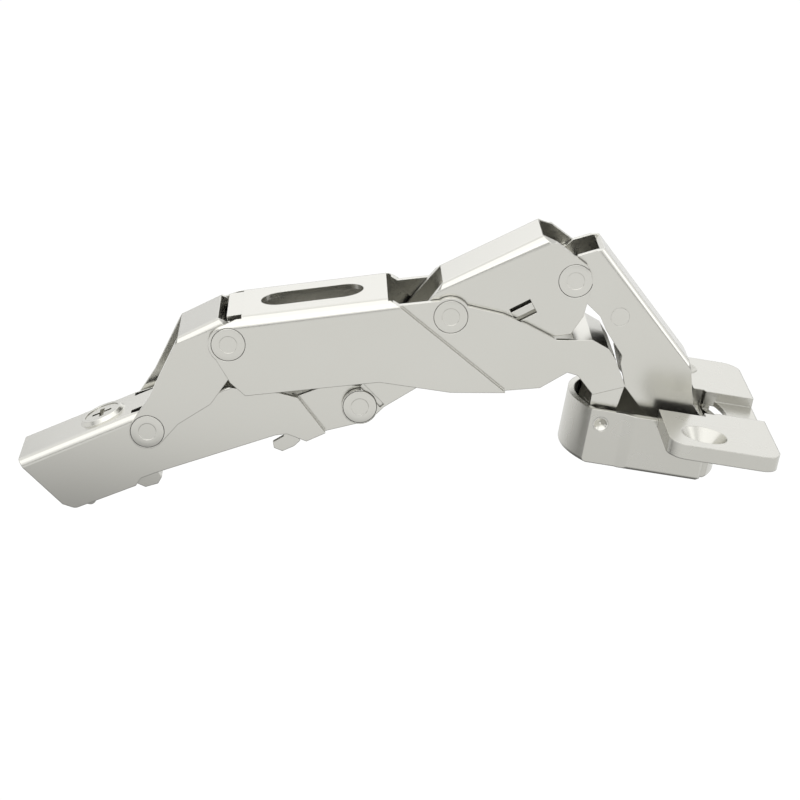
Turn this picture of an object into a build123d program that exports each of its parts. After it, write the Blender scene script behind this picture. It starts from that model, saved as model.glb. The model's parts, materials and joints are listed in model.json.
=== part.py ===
from build123d import *
from math import atan2, cos, degrees, radians, sin
import os

os.makedirs("parts", exist_ok=True)

# Wide-angle concealed cabinet hinge with a clip-on arm, modelled fully open.
# The origin is on the axis of the pot, in the plane of the door's face.
# +Z points out of the door, +X towards the screw tabs, and every pivot lies along Y.

# Sheet and running gaps
sheet = 1.2
gap = 0.3
running = 0.05

# Half widths of the nested channels over their outer faces, each one sheet and one gap apart
layer = sheet + gap
half_cup_link = 6.85
half_lever = half_cup_link + layer
half_rear_link = half_lever + layer
half_outer = half_rear_link + layer
half_lever_end = half_rear_link - 0.9

# Pivots seen from the side, as (x, z)
pivot_cup = (-10.8, -1.9)
pivot_pot = (13.0, -1.5)
pivot_middle = (-47.1, 16.2)
pivot_link = (-22.1, 28.1)
pivot_spring = (-10.8, 21.4)
pivot_front = (-62.7, -7.7)
pivot_rear_lever = (-93.0, 2.6)
pivot_rear_arm = (-107.2, -20.4)

# How far each channel turns for each degree of folding
lever_turn = 0.817
link_turn = 0.7295
fold_angle = 114.6

# Rivets
rivet_head_r = 3.7
rivet_head_t = 0.7
rivet_shank_r = 2.2
rivet_dimple_r = 1.9
rivet_dimple_t = 0.2
eye_r = 4.3
spring_rivet_r = 2.0

# Cup
pot_r = 17.5
pot_depth = 11.0
pot_wall = 1.4
cheek_half = 12.4
cheek_step = 1.0
cheek_step_x = (-6.1, -3.6)
cavity_half = 10.4
notch_x = 13.0
notch_half = 9.6
pot_pin_half = notch_half - 0.1
rim_height = 1.3
tab_t = 3.3
tab_start_x = 1.2
tab_end_x = 25.3
tab_half = 30.5
tab_corner_r = 4.0
screw_offset_x = 9.5
screw_spacing = 45.0
screw_hole_r = 2.6
screw_head_r = 5.0
cup_pin_r = 1.6
lever_eye_r = 2.9
pot_pin_r = 1.2
channel_drop = 0.9
channel_floor = 1.1
channel_end_r = 18.3

# Arm
arm_angle = 28.0
arm_rear_u = -74.6
dish_u = -55.0
dish_r = 4.6
dish_height = 0.9
cam_head_r = 3.9
cam_head_t = 1.1
cam_shank_r = 2.9
cam_collar_t = 0.7
cam_pin_r = 1.2
cam_pin_off = 1.4
latch_pin_r = 1.2


def side_plane(origin, angle):
    # a plane seen from the near side, its x axis turned up by the angle from +X
    turned = (cos(radians(angle)), 0, sin(radians(angle)))
    return Plane(origin=(origin[0], 0, origin[1]), x_dir=turned, z_dir=(0, -1, 0))


def angle_of(start, end):
    return degrees(atan2(end[1] - start[1], end[0] - start[0]))


def local_of(plane, point):
    # the place of an (x, z) point in a side plane
    place = plane.to_local_coords(Vector(point[0], 0, point[1]))
    return (place.X, place.Y)


def block(plane, points, half, eyes=()):
    # an outline with round eyes, as wide as the channel
    with BuildSketch(plane) as face:
        with BuildLine():
            Polyline(*points, close=True)
        make_face()
        for eye, radius in eyes:
            with Locations(eye):
                Circle(radius)
    extrude(face.sketch, amount=half, both=True)


def round_bends(part, plane, web, half, radius):
    # the two long bends beside a web
    bends = []
    for start, end in zip(web, web[1:]):
        middle = ((start[0] + end[0]) / 2, (start[1] + end[1]) / 2)
        for side in (-half, half):
            spot = plane.from_local_coords(Vector(middle[0], middle[1], side))
            bends.append(part.edges().sort_by_distance(spot)[0])
    fillet(bends, radius=radius)


def hollow(plane, points, half, webs=(), eyes=()):
    # clears the space between the side plates, all but a sheet under each web
    with BuildSketch(plane) as face:
        with BuildLine():
            Polyline(*points, close=True)
        make_face()
        for eye, radius in eyes:
            with Locations(eye):
                Circle(radius)
        for web in webs:
            with BuildLine():
                Polyline(*web)
                offset(amount=sheet, side=Side.RIGHT)
            make_face(mode=Mode.SUBTRACT)
    extrude(face.sketch, amount=half, both=True, mode=Mode.SUBTRACT)


def cross_hole(plane, centre, radius, half):
    with BuildSketch(plane) as face:
        with Locations(centre):
            Circle(radius)
    extrude(face.sketch, amount=half, both=True, mode=Mode.SUBTRACT)


def head_seats(plane, centre, half):
    # the sunk seats of a rivet's two flush heads
    for side in (-1, 1):
        with BuildSketch(plane.offset(side * half)) as face:
            with Locations(centre):
                Circle(rivet_head_r)
        extrude(face.sketch, amount=-side * rivet_head_t, mode=Mode.SUBTRACT)


def rivet_shape(plane, centre, half):
    # a shank with two flush heads, each with a shallow round dimple
    with BuildSketch(plane) as face:
        with Locations(centre):
            Circle(rivet_shank_r)
    extrude(face.sketch, amount=half, both=True)
    for side in (-1, 1):
        with BuildSketch(plane.offset(side * half)) as face:
            with Locations(centre):
                Circle(rivet_head_r)
        extrude(face.sketch, amount=-side * rivet_head_t)
        with BuildSketch(plane.offset(side * half)) as face:
            with Locations(centre):
                Circle(rivet_dimple_r)
        extrude(face.sketch, amount=-side * rivet_dimple_t, mode=Mode.SUBTRACT)


# Cup: a pot with flat cheeks and two screw tabs beside a channel for the cup link
channel_half = half_cup_link + 0.45
pot_floor = 1.4
pocket_x = pivot_cup[0] - lever_eye_r - gap
with BuildPart() as cup_housing:
    with BuildSketch(Plane.XY.offset(-pot_depth)):
        Circle(pot_r)
        Rectangle(3 * pot_r, 2 * cheek_half, mode=Mode.INTERSECT)
    extrude(amount=pot_depth + rim_height)
    fillet(cup_housing.edges().group_by(Axis.Z)[0], radius=0.8)
    with BuildSketch(Plane.XY):
        with Locations(((tab_start_x + tab_end_x) / 2, 0)):
            RectangleRounded(tab_end_x - tab_start_x, 2 * tab_half, tab_corner_r)
        with Locations(((tab_start_x + pot_r) / 2, 0)):
            Rectangle(pot_r - tab_start_x, 2 * cheek_half)
    extrude(amount=tab_t)
    for side in (-1, 1):
        # the cheek's rear part is sunk and meets the front part in a sloping facet
        with BuildSketch(Plane.XY.offset(-pot_depth)):
            with BuildLine():
                Polyline((-pot_r, side * (cheek_half - cheek_step)),
                         (cheek_step_x[0], side * (cheek_half - cheek_step)),
                         (cheek_step_x[1], side * cheek_half), (cheek_step_x[1], side * pot_r),
                         (-pot_r, side * pot_r), close=True)
            make_face()
        extrude(amount=pot_depth + rim_height, mode=Mode.SUBTRACT)
        with BuildSketch(Plane.XY.offset(-pot_depth)):
            with Locations(((notch_x + pot_r) / 2, side * (notch_half + pot_r) / 2)):
                Rectangle(pot_r - notch_x, pot_r - notch_half)
        extrude(amount=pot_depth, mode=Mode.SUBTRACT)
    with BuildSketch(Plane.XY.offset(pot_floor - pot_depth)):
        Circle(pot_r - pot_wall)
        Rectangle(3 * pot_r, 2 * cavity_half, mode=Mode.INTERSECT)
        for side in (-1, 1):
            with Locations(((notch_x - pot_wall + pot_r) / 2, side * (notch_half - pot_wall + pot_r) / 2)):
                Rectangle(pot_r - notch_x + pot_wall, pot_r - notch_half + pot_wall, mode=Mode.SUBTRACT)
    extrude(amount=pot_depth + tab_t, mode=Mode.SUBTRACT)
    # the channel for the cup link is deep up to a round lip, and shallow from there to the edge
    with BuildSketch(Plane.XY.offset(-channel_drop)):
        Circle(channel_end_r)
        with Locations((pot_pin_r + pot_r, 0)):
            Rectangle(2 * pot_r, 2 * channel_half, mode=Mode.INTERSECT)
    extrude(amount=channel_drop + tab_t, mode=Mode.SUBTRACT)
    with BuildSketch(Plane.XY.offset(channel_floor)):
        with Locations(((pot_pin_r + tab_end_x + 10) / 2, 0)):
            Rectangle(tab_end_x + 10 - pot_pin_r, 2 * channel_half)
    extrude(amount=tab_t, mode=Mode.SUBTRACT)
    cup_plane = side_plane((0, 0), 0)
    for side in (-1, 1):
        with BuildSketch(cup_plane.offset(side * (half_lever_end + 0.35))):
            with Locations(pivot_cup):
                Circle(lever_eye_r - 0.1)
        extrude(amount=side * (cavity_half - half_lever_end - 0.15))
    for side in (-1, 1):
        # room in the round wall for an end of the outer lever
        with BuildSketch(Plane.XY.offset(pivot_cup[1] - lever_eye_r - gap)):
            with Locations(((pocket_x + pivot_cup[0]) / 2, side * (half_lever_end - sheet / 2))):
                Rectangle(pivot_cup[0] - pocket_x, sheet + 2 * gap)
        extrude(amount=pot_depth, mode=Mode.SUBTRACT)
    cross_hole(cup_plane, pivot_cup, cup_pin_r, cheek_half)
    cross_hole(cup_plane, pivot_pot, pot_pin_r, pot_pin_half)
    with Locations((screw_offset_x, screw_spacing / 2, tab_t), (screw_offset_x, -screw_spacing / 2, tab_t)):
        CounterSinkHole(screw_hole_r, screw_head_r, depth=tab_t)
cup_housing.part.label = "cup_housing"
export_step(cup_housing.part, "parts/cup_housing.step")

# Two short pins hold the outer lever between the cheeks, each with a conical dimple
for side, name in ((1, "cup_pin_front"), (-1, "cup_pin_rear")):
    with BuildPart() as cup_pin:
        with BuildSketch(cup_plane.offset(side * (half_lever_end - sheet))):
            with Locations(pivot_cup):
                Circle(cup_pin_r)
        extrude(amount=side * (cheek_half - cheek_step - half_lever_end + sheet))
        with BuildSketch(cup_plane.offset(side * (cheek_half - cheek_step))):
            with Locations(pivot_cup):
                Circle(cup_pin_r - 0.2)
        extrude(amount=-side * 1.2, taper=45, mode=Mode.SUBTRACT)
    cup_pin.part.label = name
    export_step(cup_pin.part, f"parts/{name}.step")

with BuildPart() as pot_pin:
    with BuildSketch(cup_plane):
        with Locations(pivot_pot):
            Circle(pot_pin_r)
    extrude(amount=pot_pin_half, both=True)
pot_pin.part.label = "pot_pin"
export_step(pot_pin.part, "parts/pot_pin.step")

# Outer lever: wide behind the joggle, one layer narrower ahead of it, narrower again in the cup
outer_plane = side_plane(pivot_rear_lever, angle_of(pivot_rear_lever, pivot_middle))
outer_middle = local_of(outer_plane, pivot_middle)
outer_cup = local_of(outer_plane, pivot_cup)
joggle_top = (37.3, 3.9)
joggle_foot = (57.7, -18.0)
bar_near = (76.5, -21.2)
bar_far = (83.7, -20.3)
step_back = 1.3
outer_wide = [(-3.4, -2.2), (-1.5, 3.9), (3.5, 5.5), (35.0, 5.7), joggle_top, joggle_foot,
              (46.0, -16.5), (31.0, -12.3), (2.1, -11.9), (-0.7, -8.6)]
outer_wide_web = [(3.5, 5.5), (35.0, 5.7)]
outer_tongue_web = [(0.3, 5.4), (4.0, 5.5)]
outer_tongue_half = 8.0
slot_length = 22.4
slot_width = 9.2
outer_neck = [joggle_top, (46.6, 3.8), (52.0, 1.8), (59.2, -0.9), (64.1, -3.8), (69.9, -7.9),
              (73.6, -8.4), (77.6, -8.8), (80.9, -11.3), (82.2, -14.1), bar_far, bar_near,
              (73.7, -16.5), (71.5, -15.5), (65.3, -18.3), joggle_foot]
outer_neck_web = [(73.6, -8.4), (77.6, -8.8), (80.9, -11.3)]
outer_end = [bar_far, (outer_cup[0] + lever_eye_r, outer_cup[1]),
             (outer_cup[0] - lever_eye_r, outer_cup[1] - 0.5), bar_near]
with BuildPart() as outer_lever:
    block(outer_plane, outer_wide, half_outer, [((0, 0), eye_r)])
    round_bends(outer_lever, outer_plane, outer_wide_web, half_outer, 2.5)
    block(outer_plane, outer_neck, half_rear_link, [(outer_middle, eye_r)])
    block(outer_plane, outer_end, half_lever_end, [(outer_cup, lever_eye_r)])
    wide_inside = [(-8, -20), (-8, 5.6), (3.5, 5.5), (35.0, 5.7), (joggle_top[0] - step_back, 6.0),
                   (joggle_top[0] - step_back, 3.9), (joggle_foot[0] - step_back, -18.0), (57, -20)]
    hollow(outer_plane, wide_inside, half_outer - sheet, [outer_wide_web])
    neck_inside = [(-8, -30), (-8, 5.6), (3.5, 5.5), (35.0, 5.7), (36.0, 10), (73.0, 10), (73.6, -8.4),
                   (77.6, -8.8), (80.9, -11.3), (90, -12),
                   (90, -19.0), (75, -20.0), (70, -30)]
    hollow(outer_plane, neck_inside, half_rear_link - sheet, [outer_wide_web, outer_neck_web])
    end_inside = [(70, -12), (90, -12), (90, -35), (68, -35)]
    hollow(outer_plane, end_inside, half_lever_end - sheet)
    with BuildSketch(outer_plane):
        with BuildLine():
            Polyline(*outer_tongue_web)
            offset(amount=sheet, side=Side.RIGHT)
        make_face()
    extrude(amount=outer_tongue_half, both=True)
    with BuildSketch(outer_plane):
        with Locations(outer_middle, (0, 0)):
            Circle(rivet_shank_r)
        with Locations(outer_cup):
            Circle(cup_pin_r + running)
    extrude(amount=half_outer, both=True, mode=Mode.SUBTRACT)
    head_seats(outer_plane, (0, 0), half_outer)
    head_seats(outer_plane, outer_middle, half_rear_link)
    slot_plane = Plane(outer_plane.from_local_coords(Vector(18.7, 8, 0)), x_dir=outer_plane.x_dir,
                       z_dir=outer_plane.y_dir)
    with BuildSketch(slot_plane):
        SlotOverall(slot_length, slot_width)
    extrude(amount=-6, mode=Mode.SUBTRACT)
outer_lever.part.label = "outer_lever"
export_step(outer_lever.part, "parts/outer_lever.step")

# Crossing lever: its web lies on top, and its front eye reaches down to the arm
lever_plane = side_plane(pivot_middle, angle_of(pivot_middle, pivot_link))
lever_front = local_of(lever_plane, pivot_front)
lever_link = local_of(lever_plane, pivot_link)
lever_web = [(0.2, 6.9), (23.4, 11.3)]
press_centre = (-60.7, -4.6)
press_angle = -37.0
press_length = 6.8
press_width = 1.1
press_depth = 0.6
lever_points = [(0.2, 6.9), (23.4, 11.3), (26.0, 9.3), (31.0, 2.6), (31.0, -1.7), (27.4, -8.1),
                (23.8, -11.2), (20.5, -10.8), (6.0, -7.5), (-8.0, -13.0), (-19.3, -16.3),
                (lever_front[0] + 1.0, lever_front[1] - 3.7), (-23.0, -10.5), (-6.0, 2.5)]
with BuildPart() as crossing_lever:
    block(lever_plane, lever_points, half_lever, [((0, 0), 5.0), (lever_front, 3.9)])
    round_bends(crossing_lever, lever_plane, lever_web, half_lever, 1.2)
    lever_inside = [(-40, -30), (-40, 6.8), (0.2, 6.9), (23.4, 11.3), (40, 11.4), (40, -30)]
    hollow(lever_plane, lever_inside, half_lever - sheet, [lever_web])
    with BuildSketch(lever_plane):
        with Locations((0, 0)):
            Circle(rivet_shank_r + running)
        with Locations(lever_front, lever_link):
            Circle(rivet_shank_r)
        with Locations((15.2, -3.4)):
            Rectangle(5.0, 3.4, rotation=12)
    extrude(amount=half_lever, both=True, mode=Mode.SUBTRACT)
    for side in (-1, 1):
        # a pressed groove where the plate steps out towards the arm's rivet
        with BuildSketch(side_plane(press_centre, press_angle).offset(side * half_lever)) as face:
            Rectangle(press_length, press_width)
        extrude(face.sketch, amount=-side * press_depth, mode=Mode.SUBTRACT)
    head_seats(lever_plane, lever_front, half_lever)
    head_seats(lever_plane, lever_link, half_lever)
crossing_lever.part.label = "crossing_lever"
export_step(crossing_lever.part, "parts/crossing_lever.step")

# Slider of the brake, held in the window of the crossing lever
with BuildPart() as brake_slider:
    with BuildSketch(lever_plane):
        with Locations((15.2, -3.4)):
            Rectangle(5.0, 1.6, rotation=12)
    extrude(amount=half_lever - 0.3, both=True)
brake_slider.part.label = "brake_slider"
export_step(brake_slider.part, "parts/brake_slider.step")

# Cup link: the steep channel, with its web on the outside and an eye round the pin in the pot
link_plane = side_plane(pivot_link, angle_of(pivot_link, pivot_pot))
link_pot = local_of(link_plane, pivot_pot)
corner_top = local_of(link_plane, (-17.0, 35.6))
corner_low = local_of(link_plane, (6.5, 13.6))
link_web = [corner_top, corner_low]
link_outline = [(-22.4, 33.3), (-18.6, 35.2), (-17.0, 35.6), (6.5, 13.6), (9.0, 4.5), (12.3, 0.8),
                (11.0, -3.2), (2.5, -1.5), (-2.2, 1.7), (-6.5, 5.9), (-8.6, 10.9), (-8.6, 12.8),
                (-13.2, 17.9), (-15.1, 20.8), (-20.0, 24.2), (-26.0, 29.0)]
link_points = [local_of(link_plane, point) for point in link_outline]
with BuildPart() as cup_link:
    block(link_plane, link_points, half_cup_link, [((0, 0), 4.0)])
    round_bends(cup_link, link_plane, link_web, half_cup_link, 1.1)
    link_inside = [(-20, -30), (-20, link_web[0][1] + 5), corner_top, corner_low, (60, corner_low[1]),
                   (60, -30)]
    hollow(link_plane, link_inside, half_cup_link - sheet, [link_web])
    with BuildSketch(link_plane):
        with Locations((0, 0)):
            Circle(rivet_shank_r + running)
        with Locations(local_of(link_plane, pivot_spring)):
            Circle(spring_rivet_r)
    extrude(amount=half_cup_link, both=True, mode=Mode.SUBTRACT)
    # the end is open round the pin, along the pin's path in the turning link
    with BuildSketch(Plane.XZ):
        for step in range(17):
            turn = fold_angle * step / 16
            lever = Vector(pivot_link[0] - pivot_middle[0], pivot_link[1] - pivot_middle[1])
            hook = lever.rotate(Axis.Z, lever_turn * turn) + Vector(*pivot_middle)
            pin = Vector(pivot_pot[0] - pivot_cup[0], pivot_pot[1] - pivot_cup[1])
            pin = pin.rotate(Axis.Z, turn) + Vector(*pivot_cup) - hook
            pin = pin.rotate(Axis.Z, -(lever_turn - link_turn) * turn) + Vector(*pivot_link)
            with Locations((pin.X, pin.Y)):
                Circle(pot_pin_r + 0.25)
    extrude(amount=half_cup_link, both=True, mode=Mode.SUBTRACT)
cup_link.part.label = "cup_link"
export_step(cup_link.part, "parts/cup_link.step")

# Rear link: swings between the arm and the outer lever
rear_plane = side_plane(pivot_rear_arm, angle_of(pivot_rear_arm, pivot_rear_lever))
rear_top = local_of(rear_plane, pivot_rear_lever)
rear_web = [(20.4, 8.7), (29.4, 5.0)]
rear_points = [(-0.6, 3.8), (6.4, 4.8), (20.4, 8.7), (29.4, 5.0), (31.0, 0), (28.5, -4.0),
               (20.9, -5.4), (13.8, -6.2), (5.7, -3.9), (0, -3.9)]
with BuildPart() as rear_link:
    block(rear_plane, rear_points, half_rear_link, [((0, 0), 3.9)])
    round_bends(rear_link, rear_plane, rear_web, half_rear_link, 0.9)
    rear_inside = [(-10, -20), (-10, 8.6), (20.4, 8.7), (29.4, 5.0), (40, 4.9), (40, -20)]
    hollow(rear_plane, rear_inside, half_rear_link - sheet, [rear_web])
    cross_hole(rear_plane, (0, 0), rivet_shank_r, half_rear_link)
    cross_hole(rear_plane, rear_top, rivet_shank_r + 0.9, half_rear_link)
    head_seats(rear_plane, (0, 0), half_rear_link)
rear_link.part.label = "rear_link"
export_step(rear_link.part, "parts/rear_link.step")

# Arm: one folded channel, joggled in by a layer where the crossing lever rides outside it
arm_plane = side_plane(pivot_front, arm_angle)
arm_rear = local_of(arm_plane, pivot_rear_arm)
arm_web = [(arm_rear_u, 11.6), (-47.8, 13.8)]
arm_step_top = (-12.1, 6.2)
arm_step_foot = (-9.0, -3.4)
arm_wide = [(arm_rear_u, 11.6), (-47.8, 13.8), (-26.3, 13.6), (-15.4, 8.5), arm_step_top,
            arm_step_foot, (-13.5, -3.9), (-17.0, -0.9), (-19.5, -0.4), (-47.2, -0.4),
            (-50.6, -0.6), (-52.2, -1.9), (-66.6, -2.7), (-68.9, -0.9)]
arm_ear = [arm_step_top, (-4.0, 6.6), (2.0, 3.8), (3.5, -2.4), (-1.5, -4.0), arm_step_foot]
with BuildPart() as hinge_arm:
    block(arm_plane, arm_wide, half_lever)
    foot = arm_plane.from_local_coords(Vector(-66.6, -2.7, 0))
    fillet(hinge_arm.edges().filter_by(Axis.Y).sort_by_distance(foot)[0], radius=2.0)
    round_bends(hinge_arm, arm_plane, arm_web, half_lever, 1.0)
    block(arm_plane, arm_ear, half_cup_link, [((0, 0), 4.2)])
    arm_inside = [(arm_rear_u - 3, -8), (arm_rear_u - 3, 11.35), (arm_rear_u, 11.6), (-47.8, 13.8),
                  (-30, 16), (arm_step_top[0] - step_back, 8), (arm_step_foot[0] - step_back, -8)]
    hollow(arm_plane, arm_inside, half_lever - sheet, [arm_web])
    ear_inside = [(-18, -8), (-18, 12), (10, 12), (10, -8)]
    hollow(arm_plane, ear_inside, half_cup_link - sheet)
    # the web runs on as a narrower tongue under the rear link
    with BuildSketch(arm_plane):
        with BuildLine():
            Polyline((-49.0, 13.7), (-38.0, 14.6))
            offset(amount=sheet, side=Side.RIGHT)
        make_face()
    extrude(amount=4.5, both=True)
    web_slope = degrees(atan2(2.2, arm_web[1][0] - arm_web[0][0]))
    dish_v = 11.6 + (dish_u - arm_rear_u) * 2.2 / (arm_web[1][0] - arm_web[0][0])
    web_up = side_plane(pivot_front, arm_angle + web_slope).y_dir
    web_along = side_plane(pivot_front, arm_angle + web_slope).x_dir
    dish_plane = Plane(arm_plane.from_local_coords(Vector(dish_u, dish_v, 0)), x_dir=web_along,
                       z_dir=web_up)
    with BuildSketch(dish_plane):
        Circle(dish_r + 0.6)
    extrude(amount=dish_height, taper=30)
    with BuildSketch(dish_plane.offset(dish_height)):
        Circle(cam_head_r + running)
    extrude(amount=-cam_head_t - 0.2, mode=Mode.SUBTRACT)
    with BuildSketch(dish_plane.offset(dish_height)):
        Circle(cam_shank_r + running)
    extrude(amount=-dish_height - sheet - 1, mode=Mode.SUBTRACT)
    cross_hole(arm_plane, arm_rear, rivet_shank_r + running, half_lever)
    cross_hole(arm_plane, (0, 0), rivet_shank_r + running, half_cup_link)
hinge_arm.part.label = "hinge_arm"
export_step(hinge_arm.part, "parts/hinge_arm.step")

# Cam screw: a cross-recessed disc that turns in the dish, with an off-centre pin below
with BuildPart() as cam_screw:
    with BuildSketch(dish_plane.offset(dish_height - 0.2)):
        Circle(cam_head_r)
    extrude(amount=-cam_head_t)
    with BuildSketch(dish_plane.offset(dish_height - 0.2)):
        Circle(cam_shank_r)
    extrude(amount=-dish_height - sheet - cam_collar_t - 0.1)
    with BuildSketch(dish_plane):
        with Locations((0, cam_pin_off)):
            Circle(cam_pin_r)
    extrude(amount=-sheet - cam_collar_t - 2.2)
    with BuildSketch(dish_plane.offset(dish_height - 0.2)):
        Rectangle(4.6, 1.1)
        Rectangle(1.1, 4.6)
    extrude(amount=-1.0, mode=Mode.SUBTRACT)
cam_screw.part.label = "cam_screw"
export_step(cam_screw.part, "parts/cam_screw.step")

with BuildPart() as cam_collar:
    with BuildSketch(dish_plane.offset(-sheet - 0.1)):
        Circle(cam_head_r + 0.6)
        Circle(cam_shank_r, mode=Mode.SUBTRACT)
    extrude(amount=-cam_collar_t)
cam_collar.part.label = "cam_collar"
export_step(cam_collar.part, "parts/cam_collar.step")

# Clip adapter: hooks on the mounting plate and slides in the arm as the cam screw turns
latch_centre = (-56.0, 2.2)
adapter_web = [(-66.5, 9.2), (-51.4, 10.4)]
adapter_front_web = [(-50.6, 5.6), (-24.0, 5.0)]
adapter_points = [(-66.5, 9.2), (-51.4, 10.4), (-50.6, 5.6), (-24.0, 5.0), (-16.6, 1.6), (-14.9, -3.8),
                  (-16.6, -4.6), (-19.4, -4.9), (-20.9, -3.6), (-20.7, -2.3), (-18.0, -1.7),
                  (-17.7, 0.2), (-20.5, 0.5), (-58.0, -0.9), (-66.5, 0.3)]
with BuildPart() as clip_adapter:
    block(arm_plane, adapter_points, half_cup_link)
    round_bends(clip_adapter, arm_plane, adapter_web, half_cup_link, 0.9)
    round_bends(clip_adapter, arm_plane, adapter_front_web, half_cup_link, 0.9)
    adapter_inside = [(-70, -8), (-70, 9.1), (-66.5, 9.2), (-51.4, 10.4), (-50.6, 5.6), (-24.0, 5.0),
                      (-10, 4.9), (-10, -8)]
    hollow(arm_plane, adapter_inside, half_cup_link - sheet, [adapter_web, adapter_front_web])
    with BuildSketch(dish_plane):
        with Locations((0, cam_pin_off)):
            SlotCenterToCenter(2 * cam_pin_off, 2 * cam_pin_r + 0.5, rotation=90)
    extrude(amount=-6, mode=Mode.SUBTRACT)
    cross_hole(arm_plane, latch_centre, latch_pin_r, half_cup_link)
clip_adapter.part.label = "clip_adapter"
export_step(clip_adapter.part, "parts/clip_adapter.step")

# Release latch: its rounded foot and its grip bar show under the arm
half_latch = half_cup_link - layer
latch_points = [(-58.2, 3.6), (-56.0, 4.4), (-53.6, 3.6), (-47.4, 0.6), (-46.7, -2.8), (-48.0, -4.0),
                (-50.9, -3.9), (-52.3, -2.6), (-54.0, -0.4), (-58.5, -0.4), (-62.0, -2.2)]
with BuildPart() as clip_latch:
    block(arm_plane, latch_points, half_latch)
    latch_inside = [(-70, 8), (-52, 8), (-52, -8), (-70, -8)]
    hollow(arm_plane, latch_inside, half_latch - 1.0)
    with BuildSketch(arm_plane):
        with Locations((-63.4, -2.7)):
            Circle(1.3)
        with BuildLine():
            Polyline((-63.4, -3.6), (-63.4, -1.4), (-58.0, 2.0), (-58.0, -0.2), close=True)
        make_face()
    extrude(amount=half_latch, both=True)
    with BuildSketch(arm_plane):
        with BuildLine():
            Polyline((-62.0, -1.0), (-52, 8), (-52, -3), (-57.0, -3), close=True)
        make_face()
    extrude(amount=half_latch - 1.0, both=True, mode=Mode.SUBTRACT)
    cross_hole(arm_plane, latch_centre, latch_pin_r + running, half_latch)
clip_latch.part.label = "clip_latch"
export_step(clip_latch.part, "parts/clip_latch.step")

with BuildPart() as latch_pin:
    with BuildSketch(arm_plane):
        with Locations(latch_centre):
            Circle(latch_pin_r)
    extrude(amount=half_cup_link, both=True)
latch_pin.part.label = "latch_pin"
export_step(latch_pin.part, "parts/latch_pin.step")

# Latch spring: a wire wound round the latch pin, with a leg towards the rear
wire_r = 0.35
coil_r = latch_pin_r + wire_r + 0.25
coil_turns = 3
coil_pitch = 0.9
coil_half = coil_turns * coil_pitch / 2
leg_length = 5.6
coil_start = arm_plane.from_local_coords(Vector(latch_centre[0], latch_centre[1], -coil_half))
with BuildPart() as latch_spring:
    with BuildLine() as coil:
        Helix(coil_pitch, 2 * coil_half, coil_r, center=coil_start, direction=arm_plane.z_dir)
    with BuildSketch(Plane(coil.line @ 0, z_dir=coil.line % 0)) as wire:
        RegularPolygon(wire_r, 8)
    sweep(is_frenet=True)
    extrude(wire.sketch, amount=-leg_length)
latch_spring.part.label = "latch_spring"
export_step(latch_spring.part, "parts/latch_spring.step")

# Closing spring: a leaf rolled round its rivet in the cup link
spring_centre = local_of(link_plane, pivot_spring)
with BuildPart() as spring_rivet:
    with BuildSketch(link_plane):
        with Locations(spring_centre):
            Circle(spring_rivet_r)
    extrude(amount=half_cup_link, both=True)
spring_rivet.part.label = "spring_rivet"
export_step(spring_rivet.part, "parts/spring_rivet.step")

leaf_t = 0.7
with BuildPart() as closing_spring:
    with BuildSketch(link_plane):
        with Locations(spring_centre):
            Circle(spring_rivet_r + leaf_t)
        with BuildLine():
            Polyline(spring_centre, (spring_centre[0], spring_centre[1] + spring_rivet_r + leaf_t),
                     (spring_centre[0] + 14, spring_centre[1] + 1.2),
                     (spring_centre[0] + 14, spring_centre[1] + 0.5),
                     (spring_centre[0] + 3.0, spring_centre[1] + 1.2), close=True)
        make_face()
        with Locations(spring_centre):
            Circle(spring_rivet_r, mode=Mode.SUBTRACT)
    extrude(amount=half_cup_link - sheet - 0.6, both=True)
closing_spring.part.label = "closing_spring"
export_step(closing_spring.part, "parts/closing_spring.step")

# Rivets of the linkage
for name, plane, centre, half in (
    ("rear_arm_rivet", rear_plane, (0, 0), half_rear_link),
    ("rear_lever_rivet", outer_plane, (0, 0), half_outer),
    ("middle_rivet", outer_plane, outer_middle, half_rear_link),
    ("front_arm_rivet", lever_plane, lever_front, half_lever),
    ("cup_link_rivet", lever_plane, lever_link, half_lever),
):
    with BuildPart() as rivet:
        rivet_shape(plane, centre, half)
    rivet.part.label = name
    export_step(rivet.part, f"parts/{name}.step")
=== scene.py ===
import bpy
import bmesh
import json
import numpy as np
from mathutils import Matrix, Vector


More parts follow.
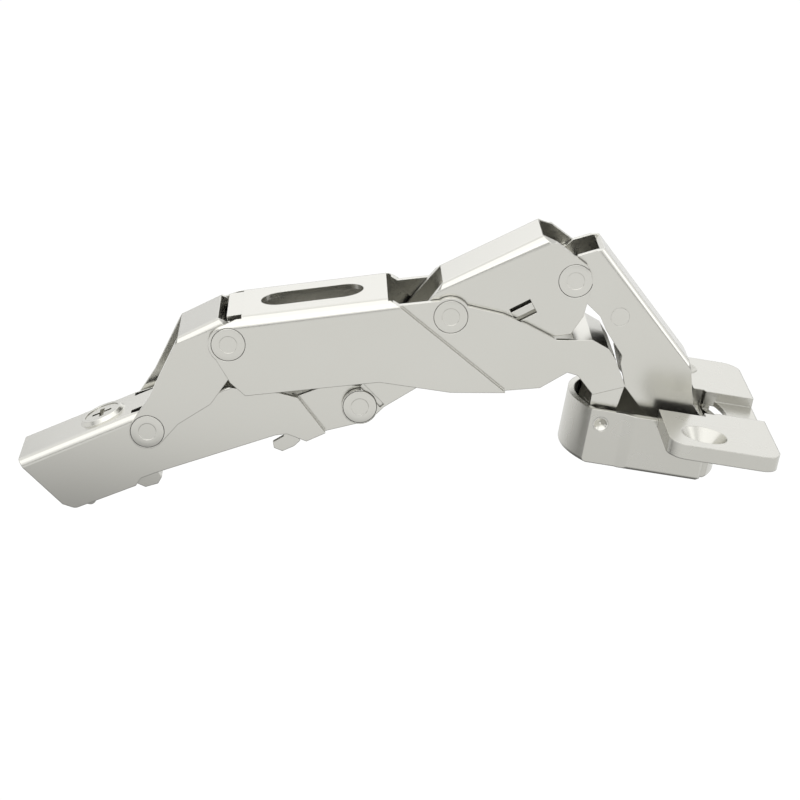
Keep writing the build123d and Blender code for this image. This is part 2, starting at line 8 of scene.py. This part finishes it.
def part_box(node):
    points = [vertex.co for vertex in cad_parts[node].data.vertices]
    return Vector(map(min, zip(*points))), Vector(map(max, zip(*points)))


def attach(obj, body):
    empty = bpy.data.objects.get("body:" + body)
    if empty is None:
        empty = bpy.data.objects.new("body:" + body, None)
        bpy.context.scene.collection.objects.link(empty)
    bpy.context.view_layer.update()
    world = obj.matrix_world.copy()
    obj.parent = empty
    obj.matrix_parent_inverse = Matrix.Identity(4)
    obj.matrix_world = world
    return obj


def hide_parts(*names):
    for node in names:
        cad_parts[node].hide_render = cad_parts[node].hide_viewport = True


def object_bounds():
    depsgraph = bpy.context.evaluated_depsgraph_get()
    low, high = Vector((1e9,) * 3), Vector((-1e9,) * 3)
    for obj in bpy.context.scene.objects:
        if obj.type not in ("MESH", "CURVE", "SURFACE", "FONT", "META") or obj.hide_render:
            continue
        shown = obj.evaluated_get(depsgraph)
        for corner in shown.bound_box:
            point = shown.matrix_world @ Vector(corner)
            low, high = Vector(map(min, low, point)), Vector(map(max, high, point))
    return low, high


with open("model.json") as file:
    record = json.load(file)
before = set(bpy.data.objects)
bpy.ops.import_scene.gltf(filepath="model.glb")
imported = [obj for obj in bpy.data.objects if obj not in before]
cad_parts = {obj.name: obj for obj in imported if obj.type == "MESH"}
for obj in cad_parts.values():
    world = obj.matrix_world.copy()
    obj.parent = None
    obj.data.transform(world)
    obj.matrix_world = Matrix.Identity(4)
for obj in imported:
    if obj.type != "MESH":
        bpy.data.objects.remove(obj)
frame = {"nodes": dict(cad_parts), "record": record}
cadLow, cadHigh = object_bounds()
scene = bpy.context.scene
nodes = frame["nodes"]
mm = 0.001
print("frame loaded:", len(nodes), "pieces")


def linearColour(hexText):
    # each sRGB byte becomes a linear value
    parts = [int(hexText[i:i + 2], 16) / 255 for i in (1, 3, 5)]
    linear = [c / 12.92 if c <= 0.04045 else ((c + 0.055) / 1.055) ** 2.4 for c in parts]
    return (*linear, 1.0)


def addNode(tree, kind, settings=None, links=None):
    # one node, its properties or input values, and what feeds its inputs
    node = tree.nodes.new(kind)
    for name, value in (settings or {}).items():
        if isinstance(name, str) and hasattr(node, name):
            setattr(node, name, value)
        else:
            node.inputs[name].default_value = value
    for name, source in (links or {}).items():
        tree.links.new(source, node.inputs[name])
    return node


def newTree(name):
    material = bpy.data.materials.new(name)
    material.use_nodes = True
    material.node_tree.nodes.clear()
    return material, material.node_tree


grainHeight = 0.02  # mm between the grain's low and high


def platedMetal(name, look):
    # a metal whose tone and gloss drift over a few millimetres, its edges softened by the plating, with
    # painted shade in its narrow gaps
    material, tree = newTree(name)
    place = addNode(tree, "ShaderNodeTexCoord")
    drift = addNode(tree, "ShaderNodeTexNoise", {"Scale": 1 / (look["driftMm"] * mm), "Detail": 2.0},
                    {"Vector": place.outputs["Object"]})
    tone = addNode(tree, "ShaderNodeMix", {"data_type": "RGBA", 6: linearColour(look["deep"]),
                                           7: linearColour(look["bright"])},
                   {0: drift.outputs["Fac"]})
    # painted shade: the colour darkens towards a dark shade colour where the sheets lie close together,
    # as far as the ambient occlusion reaches
    occlusionForShade = addNode(tree, "ShaderNodeAmbientOcclusion",
                      {"samples": 8, "Distance": look["shadeMm"] * mm})
    unshadedShare = addNode(tree, "ShaderNodeMapRange",
                       {"From Min": look["shadeFrom"], "From Max": look["shadeTo"]},
                       {"Value": occlusionForShade.outputs["AO"]})
    paintedShadeColour = addNode(tree, "ShaderNodeMix", {"data_type": "RGBA", 6: linearColour(look["recess"])},
                     {0: unshadedShare.outputs["Result"], 7: tone.outputs[2]})
    gloss = addNode(tree, "ShaderNodeMapRange",
                    {"To Min": look["roughLow"], "To Max": look["roughHigh"]},
                    {"Value": drift.outputs["Fac"]})
    grain = addNode(tree, "ShaderNodeTexNoise", {"Scale": 1 / (look["grainMm"] * mm), "Detail": 3.0},
                    {"Vector": place.outputs["Object"]})
    edge = addNode(tree, "ShaderNodeBevel", {"samples": 6, "Radius": look["edgeMm"] * mm})
    skin = addNode(tree, "ShaderNodeBump", {"Strength": look["grain"], "Distance": grainHeight * mm},
                   {"Height": grain.outputs["Fac"], "Normal": edge.outputs["Normal"]})
    metal = addNode(tree, "ShaderNodeBsdfPrincipled", {"Metallic": 1.0},
                    {"Base Color": paintedShadeColour.outputs[2], "Roughness": gloss.outputs["Result"],
                     "Normal": skin.outputs["Normal"]})
    addNode(tree, "ShaderNodeOutputMaterial", None, {"Surface": metal.outputs["BSDF"]})
    return material


# each finish also gives its painted shade: how far the occlusion looks, the occlusion range over which
# the colour darkens, and the dark colour it darkens to
# bright nickel over rolled and pressed steel: smooth, pale and slightly warm, with soft reflections
nickelOnSheet = platedMetal("nickelOnPressedSteel", {
    "deep": "#C9C8C1", "bright": "#D1D0CA", "driftMm": 22, "roughLow": 0.17, "roughHigh": 0.26,
    "grainMm": 0.5, "grain": 0.05, "edgeMm": 0.22,
    "shadeMm": 6, "shadeFrom": 0.08, "shadeTo": 0.5, "recess": "#302D24"})
# the same plating over a die casting: a little softer and cloudier, with rounder edges
nickelOnCasting = platedMetal("nickelOnDieCastZinc", {
    "deep": "#BDBCB5", "bright": "#C6C5BF", "driftMm": 9, "roughLow": 0.22, "roughHigh": 0.32,
    "grainMm": 0.8, "grain": 0.08, "edgeMm": 0.35,
    "shadeMm": 7, "shadeFrom": 0.1, "shadeTo": 0.55, "recess": "#4E4B40"})
# plating over turned and headed steel: brighter, with the tightest reflections
nickelOnTurned = platedMetal("nickelOnHeadedSteel", {
    "deep": "#CAC9C2", "bright": "#D2D1CB", "driftMm": 12, "roughLow": 0.17, "roughHigh": 0.26,
    "grainMm": 0.4, "grain": 0.05, "edgeMm": 0.12,
    "shadeMm": 3, "shadeFrom": 0.0, "shadeTo": 0.3, "recess": "#5A574C"})
# bare spring steel under a film of oil: dark, and lit only along its edges
oiledSpringSteel = platedMetal("oiledSpringSteel", {
    "deep": "#6E6C66", "bright": "#807E77", "driftMm": 5, "roughLow": 0.3, "roughHigh": 0.42,
    "grainMm": 0.3, "grain": 0.12, "edgeMm": 0.12,
    "shadeMm": 3, "shadeFrom": 0.1, "shadeTo": 0.6, "recess": "#2C2A24"})
print("finishes made")

# every node that isn't named here is folded or pressed from sheet
finishOf = {"cup_housing": nickelOnCasting, "latch_spring": oiledSpringSteel,
            "closing_spring": oiledSpringSteel}
turnedNodes = ("cam_screw", "cam_collar", "cup_pin_front", "cup_pin_rear", "pot_pin", "latch_pin",
               "spring_rivet")
for name in turnedNodes:
    finishOf[name] = nickelOnTurned
for name, piece in nodes.items():
    piece.data.materials.clear()
    piece.data.materials.append(finishOf.get(name, nickelOnSheet))
print("finishes laid on the frame's pieces")


def bodyOf(name):
    # the moving body that the record puts the node on
    return next(b for b, members in frame["record"]["behaviour"]["bodies"].items() if name in members)


# radii and heights in mm; ringIn, wallIn, lipT, lipOut and ringOut place the rings that keep the
# dimple's step crisp
rivet = {"headR": 3.62, "headT": 0.7, "shankR": 2.15, "edgeR": 0.1, "dimpleR": 1.9, "dimpleT": 0.1,
         "ringIn": 0.1, "wallIn": 0.02, "lipT": 0.02, "lipOut": 0.03, "ringOut": 0.15, "edgeRings": 5,
         "around": 72, "mergeWithin": 1e-6, "crispAngle": 30}


def turnedMesh(name, profile, centre, around):
    # profile is (radius, place along Y); each ring is the profile turned once round the Y axis
    radius, along = np.array(profile).T * mm
    turn = np.linspace(0, 2 * np.pi, around, endpoint=False)
    x = centre[0] + radius[:, None] * np.cos(turn)
    z = centre[2] + radius[:, None] * np.sin(turn)
    y = np.broadcast_to(centre[1] + along[:, None], x.shape)
    points = np.stack([x, y, z], axis=-1).reshape(-1, 3)
    rows, columns = np.meshgrid(np.arange(len(radius) - 1), np.arange(around), indexing="ij")
    nextColumn = (columns + 1) % around
    quads = np.stack([rows * around + columns, rows * around + nextColumn,
                      (rows + 1) * around + nextColumn, (rows + 1) * around + columns], axis=-1)
    mesh = bpy.data.meshes.new(name)
    mesh.from_pydata(points.tolist(), [], quads.reshape(-1, 4).tolist())
    mesh.validate()
    piece = bpy.data.objects.new(name, mesh)
    scene.collection.objects.link(piece)
    return piece


def closeTurned(piece):
    # merges the poles and turns every face outwards
    shape = bmesh.new()
    shape.from_mesh(piece.data)
    bmesh.ops.remove_doubles(shape, verts=shape.verts, dist=rivet["mergeWithin"])
    bmesh.ops.recalc_face_normals(shape, faces=shape.faces)
    shape.to_mesh(piece.data)
    shape.free()
    piece.data.shade_smooth()
    piece.data.set_sharp_from_angle(angle=np.radians(rivet["crispAngle"]))


def headProfile(half):
    # from the middle of the dimple out over the rounded rim and down the shank, as (radius, place)
    dimpleR, dimpleFloor, under = rivet["dimpleR"], half - rivet["dimpleT"], half - rivet["headT"]
    dimple = [(0.0, dimpleFloor), (dimpleR - rivet["ringIn"], dimpleFloor),
              (dimpleR - rivet["wallIn"], dimpleFloor)]
    lip = [(dimpleR, half - rivet["lipT"]), (dimpleR + rivet["lipOut"], half),
           (dimpleR + rivet["ringOut"], half)]
    rim = [(rivet["headR"] - rivet["edgeR"] * (1 - np.sin(b)), half - rivet["edgeR"] * (1 - np.cos(b)))
           for b in np.linspace(0, np.pi / 2, rivet["edgeRings"])]
    neck = [(rivet["headR"], under), (rivet["shankR"], under)]
    return dimple + lip + rim + neck


for name in ("rear_arm_rivet", "rear_lever_rivet", "middle_rivet", "front_arm_rivet", "cup_link_rivet"):
    low, high = (np.array(corner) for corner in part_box(name))
    centre = (low + high) / 2
    half = (high[1] - low[1]) / 2 / mm
    upper = headProfile(half)
    lower = [(r, -y) for r, y in reversed(upper)]
    piece = turnedMesh(name.title().replace("_", ""), upper + lower, centre, rivet["around"])
    closeTurned(piece)
    piece.data.materials.append(nickelOnTurned)
    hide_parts(name)
    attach(piece, bodyOf(name))
print("rivets turned")

# the long bends of four folded channels: half the channel's width, the web's outer line as (x, z),
# the frame's bend radius and the fuller radius that a press brake leaves at the line's two ends
channelBends = {
    "crossing_lever": {"half": 8.35, "line": ((-49.885, 22.516), (-30.828, 36.46)),
                       "radius": 1.2, "full": (2.2, 2.2)},
    "cup_link": {"half": 6.85, "line": ((-17.0, 35.6), (6.5, 13.6)),
                 "radius": 1.1, "full": (1.35, 2.1)},
    "rear_link": {"half": 9.85, "line": ((-103.886, 1.529), (-96.01, 7.243)),
                  "radius": 0.9, "full": (1.8, 1.8)},
    "hinge_arm": {"half": 8.35, "line": ((-134.014, -32.48), (-111.384, -17.956)),
                  "radius": 1.0, "full": (1.8, 1.8)}}
bendSlack = 0.04  # how far a point may lie from the bend's arc and still count as on it
sewingStep = 0.0005  # points closer than this are one point


def foldedMesh(name, bend):
    # a copy of the channel: every point of a bend moves straight away from the corner of the two faces
    # by full / radius, so its arc grows and still meets both faces in line
    mesh = nodes[name].data
    points = np.empty(len(mesh.vertices) * 3)
    mesh.vertices.foreach_get("co", points)
    turned = np.array(nodes[name].matrix_world)
    points = (points.reshape(-1, 3) @ turned[:3, :3].T + turned[:3, 3]) / mm
    start, end = np.array(bend["line"])
    length = np.hypot(*(end - start))
    run = (end - start) / length
    up = np.array([-run[1], run[0]])
    seen = points[:, [0, 2]] - start
    along, depth = seen @ run, -seen @ up
    inset = bend["half"] - np.abs(points[:, 1])
    radius = bend["radius"]
    full = np.where(along < length / 2, bend["full"][0], bend["full"][1])
    grow = full / radius - 1
    fromAxis = np.hypot(radius - depth, radius - inset)
    beside = (along > -radius) & (along < length + radius)
    onBend = beside & (np.abs(fromAxis - radius) < bendSlack)
    onBend &= (depth < radius + bendSlack) & (inset < radius + bendSlack)
    # points of the web's face that the grown bend would pass are taken along to its border
    passed = beside & ~onBend & (np.abs(depth) < bendSlack) & (inset > radius) & (inset < full)
    points[:, [0, 2]] -= np.where(onBend, depth * grow, 0)[:, None] * up
    inwards = np.where(onBend, inset * grow, np.where(passed, full - inset, 0))
    points[:, 1] -= inwards * np.sign(points[:, 1])
    # the loose triangles are sewn together, and each corner keeps the surface direction it had
    corners = np.empty(len(mesh.loops), dtype=np.int64)
    mesh.loops.foreach_get("vertex_index", corners)
    facing = np.empty(len(mesh.loops) * 3)
    mesh.corner_normals.foreach_get("vector", facing)
    facing = facing.reshape(-1, 3) @ turned[:3, :3].T
    _, first, sewn = np.unique(np.round(points / sewingStep).astype(np.int64), axis=0, return_index=True,
                               return_inverse=True)
    triangles = sewn.reshape(-1)[corners].reshape(-1, 3)
    whole = (triangles != np.roll(triangles, 1, axis=1)).all(axis=1)
    folded = bpy.data.meshes.new(name.title().replace("_", ""))
    folded.from_pydata((points[first] * mm).tolist(), [], triangles[whole].tolist())
    folded.shade_smooth()
    folded.normals_split_custom_set(facing.reshape(-1, 3, 3)[whole].reshape(-1, 3).tolist())
    folded.materials.append(nickelOnSheet)
    print(name, "bend points moved:", int(onBend.sum()))
    return folded


for name, bend in channelBends.items():
    piece = bpy.data.objects.new(name.title().replace("_", ""), foldedMesh(name, bend))
    scene.collection.objects.link(piece)
    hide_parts(name)
    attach(piece, bodyOf(name))
print("channels folded")

# the camera looks a little down on the near side, rolled so that the arm climbs in the view
camera = {"place": (-0.09868, -0.49706, 0.16748), "right": (0.9841, -0.0274, 0.1755),
          "up": (-0.1559, 0.3407, 0.9272), "ahead": (0.0852, 0.9398, -0.331), "lens": 108.0,
          "sensor": 36.0, "nearest": 0.01}
lensData = bpy.data.cameras.new("hingeCamera")
lensData.lens = camera["lens"]
lensData.sensor_width = camera["sensor"]
lensData.sensor_fit = "HORIZONTAL"
lensData.clip_start = camera["nearest"]
viewer = bpy.data.objects.new("hingeCamera", lensData)
axes = [camera["right"], camera["up"], tuple(-v for v in camera["ahead"])]
viewer.matrix_world = Matrix.Translation(camera["place"]) @ Matrix(axes).transposed().to_4x4()
scene.collection.objects.link(viewer)
scene.camera = viewer
print("camera set")

# the world climbs from worldLow at the horizon to worldHigh at worldRise; shadeReach is how far
# outside the hinge's footprint the painted shadow that the plating mirrors in the floor starts and ends
# its climb from shadeTone to openTone; the footprint is shorter than the hinge by footInset at each end,
# and footTall is so large that height never counts
studio = {"floorDrop": 0.03, "floorHalf": 6.0, "floorWhite": "#F4F4F2",
          "worldLow": 0.2, "worldHigh": 1.15, "worldRise": 0.2, "cameraShare": 0.85,
          "glossShare": 0.9, "shadeReach": (0.03, 0.16), "shadeTone": 0.1, "openTone": 1.0,
          "footInset": 0.02, "footTall": 10}
# each softbox: place, size across and power
softboxes = {"overheadSoftbox": ((-0.25, -0.2, 0.5), 0.95, 1.6),
             "backSoftbox": ((-0.1, 0.9, 0.36), 0.9, 0.5),
             "sideSoftbox": ((0.75, -0.15, 0.42), 0.55, 0.7),
             "frontSoftbox": ((-0.15, -0.75, 0.5), 0.6, 0.6)}


def seenWhite(tree):
    # how far the floor glows for what the camera, a reflection or a refraction sees
    path = addNode(tree, "ShaderNodeLightPath")
    seen = addNode(tree, "ShaderNodeMath", {"operation": "MULTIPLY", 1: studio["cameraShare"]},
                   {0: path.outputs["Is Camera Ray"]})
    mirrored = addNode(tree, "ShaderNodeMath", {"operation": "MAXIMUM"},
                       {0: path.outputs["Is Glossy Ray"], 1: path.outputs["Is Transmission Ray"]})
    return addNode(tree, "ShaderNodeMath", {"operation": "MULTIPLY_ADD", 1: studio["glossShare"]},
                   {0: mirrored.outputs[0], 2: seen.outputs[0]}).outputs[0]


# matt white studio floor that glows a little where it is looked at, so that it stays white
footMiddle = ((cadLow[0] + cadHigh[0]) / 2, 0, 0)
footHalf = ((cadHigh[0] - cadLow[0]) / 2 - studio["footInset"], 0, studio["footTall"])
floorMaterial, tree = newTree("whiteStudioFloor")
matt = addNode(tree, "ShaderNodeBsdfDiffuse", {"Color": linearColour(studio["floorWhite"])})
# painted shadow: the plating mirrors a floor that is painted darker close to the hinge's own footprint,
# and white further out
spot = addNode(tree, "ShaderNodeTexCoord")
fromMiddle = addNode(tree, "ShaderNodeVectorMath", {"operation": "SUBTRACT", 1: footMiddle},
                     {0: spot.outputs["Object"]})
spread = addNode(tree, "ShaderNodeVectorMath", {"operation": "ABSOLUTE"}, {0: fromMiddle.outputs[0]})
past = addNode(tree, "ShaderNodeVectorMath", {"operation": "SUBTRACT", 1: footHalf},
               {0: spread.outputs[0]})
outside = addNode(tree, "ShaderNodeVectorMath", {"operation": "MAXIMUM", 1: (0, 0, 0)},
                  {0: past.outputs[0]})
reach = addNode(tree, "ShaderNodeVectorMath", {"operation": "LENGTH"}, {0: outside.outputs[0]})
near, far = studio["shadeReach"]
paintedShadowTone = addNode(tree, "ShaderNodeMapRange",
                       {"interpolation_type": "SMOOTHSTEP", "From Min": near, "From Max": far,
                        "To Min": studio["shadeTone"], "To Max": studio["openTone"]},
                       {"Value": reach.outputs["Value"]})
seenBy = addNode(tree, "ShaderNodeLightPath")
strength = addNode(tree, "ShaderNodeMath", {"operation": "MAXIMUM"},
                   {0: paintedShadowTone.outputs["Result"], 1: seenBy.outputs["Is Camera Ray"]})
glow = addNode(tree, "ShaderNodeEmission", {"Color": (1, 1, 1, 1)}, {"Strength": strength.outputs[0]})
blend = addNode(tree, "ShaderNodeMixShader", None,
                {0: seenWhite(tree), 1: matt.outputs[0], 2: glow.outputs[0]})
addNode(tree, "ShaderNodeOutputMaterial", None, {"Surface": blend.outputs[0]})
floorLevel = cadLow[2] - studio["floorDrop"]
floorCorners = [(x * studio["floorHalf"], y * studio["floorHalf"], floorLevel)
                for x, y in ((-1, -1), (1, -1), (1, 1), (-1, 1))]
floorMesh = bpy.data.meshes.new("studioFloor")
floorMesh.from_pydata(floorCorners, [], [(0, 1, 2, 3)])
floor = bpy.data.objects.new("studioFloor", floorMesh)
floorMesh.materials.append(floorMaterial)
scene.collection.objects.link(floor)
print("floor laid")

# soft studio air, brighter overhead than at the horizon
world = bpy.data.worlds.new("softStudio")
scene.world = world
world.use_nodes = True
tree = world.node_tree
tree.nodes.clear()
way = addNode(tree, "ShaderNodeTexCoord")
split = addNode(tree, "ShaderNodeSeparateXYZ", None, {0: way.outputs["Generated"]})
climb = addNode(tree, "ShaderNodeMapRange",
                {"From Min": 0.0, "From Max": studio["worldRise"], "To Min": studio["worldLow"],
                 "To Max": studio["worldHigh"]}, {"Value": split.outputs["Z"]})
# a camera that looks past the floor sees plain white
viewedBy = addNode(tree, "ShaderNodeLightPath")
level = addNode(tree, "ShaderNodeMath", {"operation": "MAXIMUM"},
                {0: climb.outputs["Result"], 1: viewedBy.outputs["Is Camera Ray"]})
air = addNode(tree, "ShaderNodeBackground", {"Color": (1, 1, 1, 1)}, {"Strength": level.outputs[0]})
addNode(tree, "ShaderNodeOutputWorld", None, {"Surface": air.outputs[0]})


def softbox(name, place, target, size, power):
    # a square lamp that faces its target
    lamp = bpy.data.lights.new(name, "AREA")
    lamp.shape = "SQUARE"
    lamp.size = size
    lamp.energy = power
    holder = bpy.data.objects.new(name, lamp)
    ahead = np.array(target, float) - np.array(place, float)
    holder.rotation_euler = Vector(ahead).to_track_quat("-Z", "Y").to_euler()
    holder.location = place
    scene.collection.objects.link(holder)


middle = [(a + b) / 2 for a, b in zip(cadLow, cadHigh)]
for name, (place, size, power) in softboxes.items():
    softbox(name, place, middle, size, power)
scene.view_settings.view_transform = "Standard"
print("studio lit")
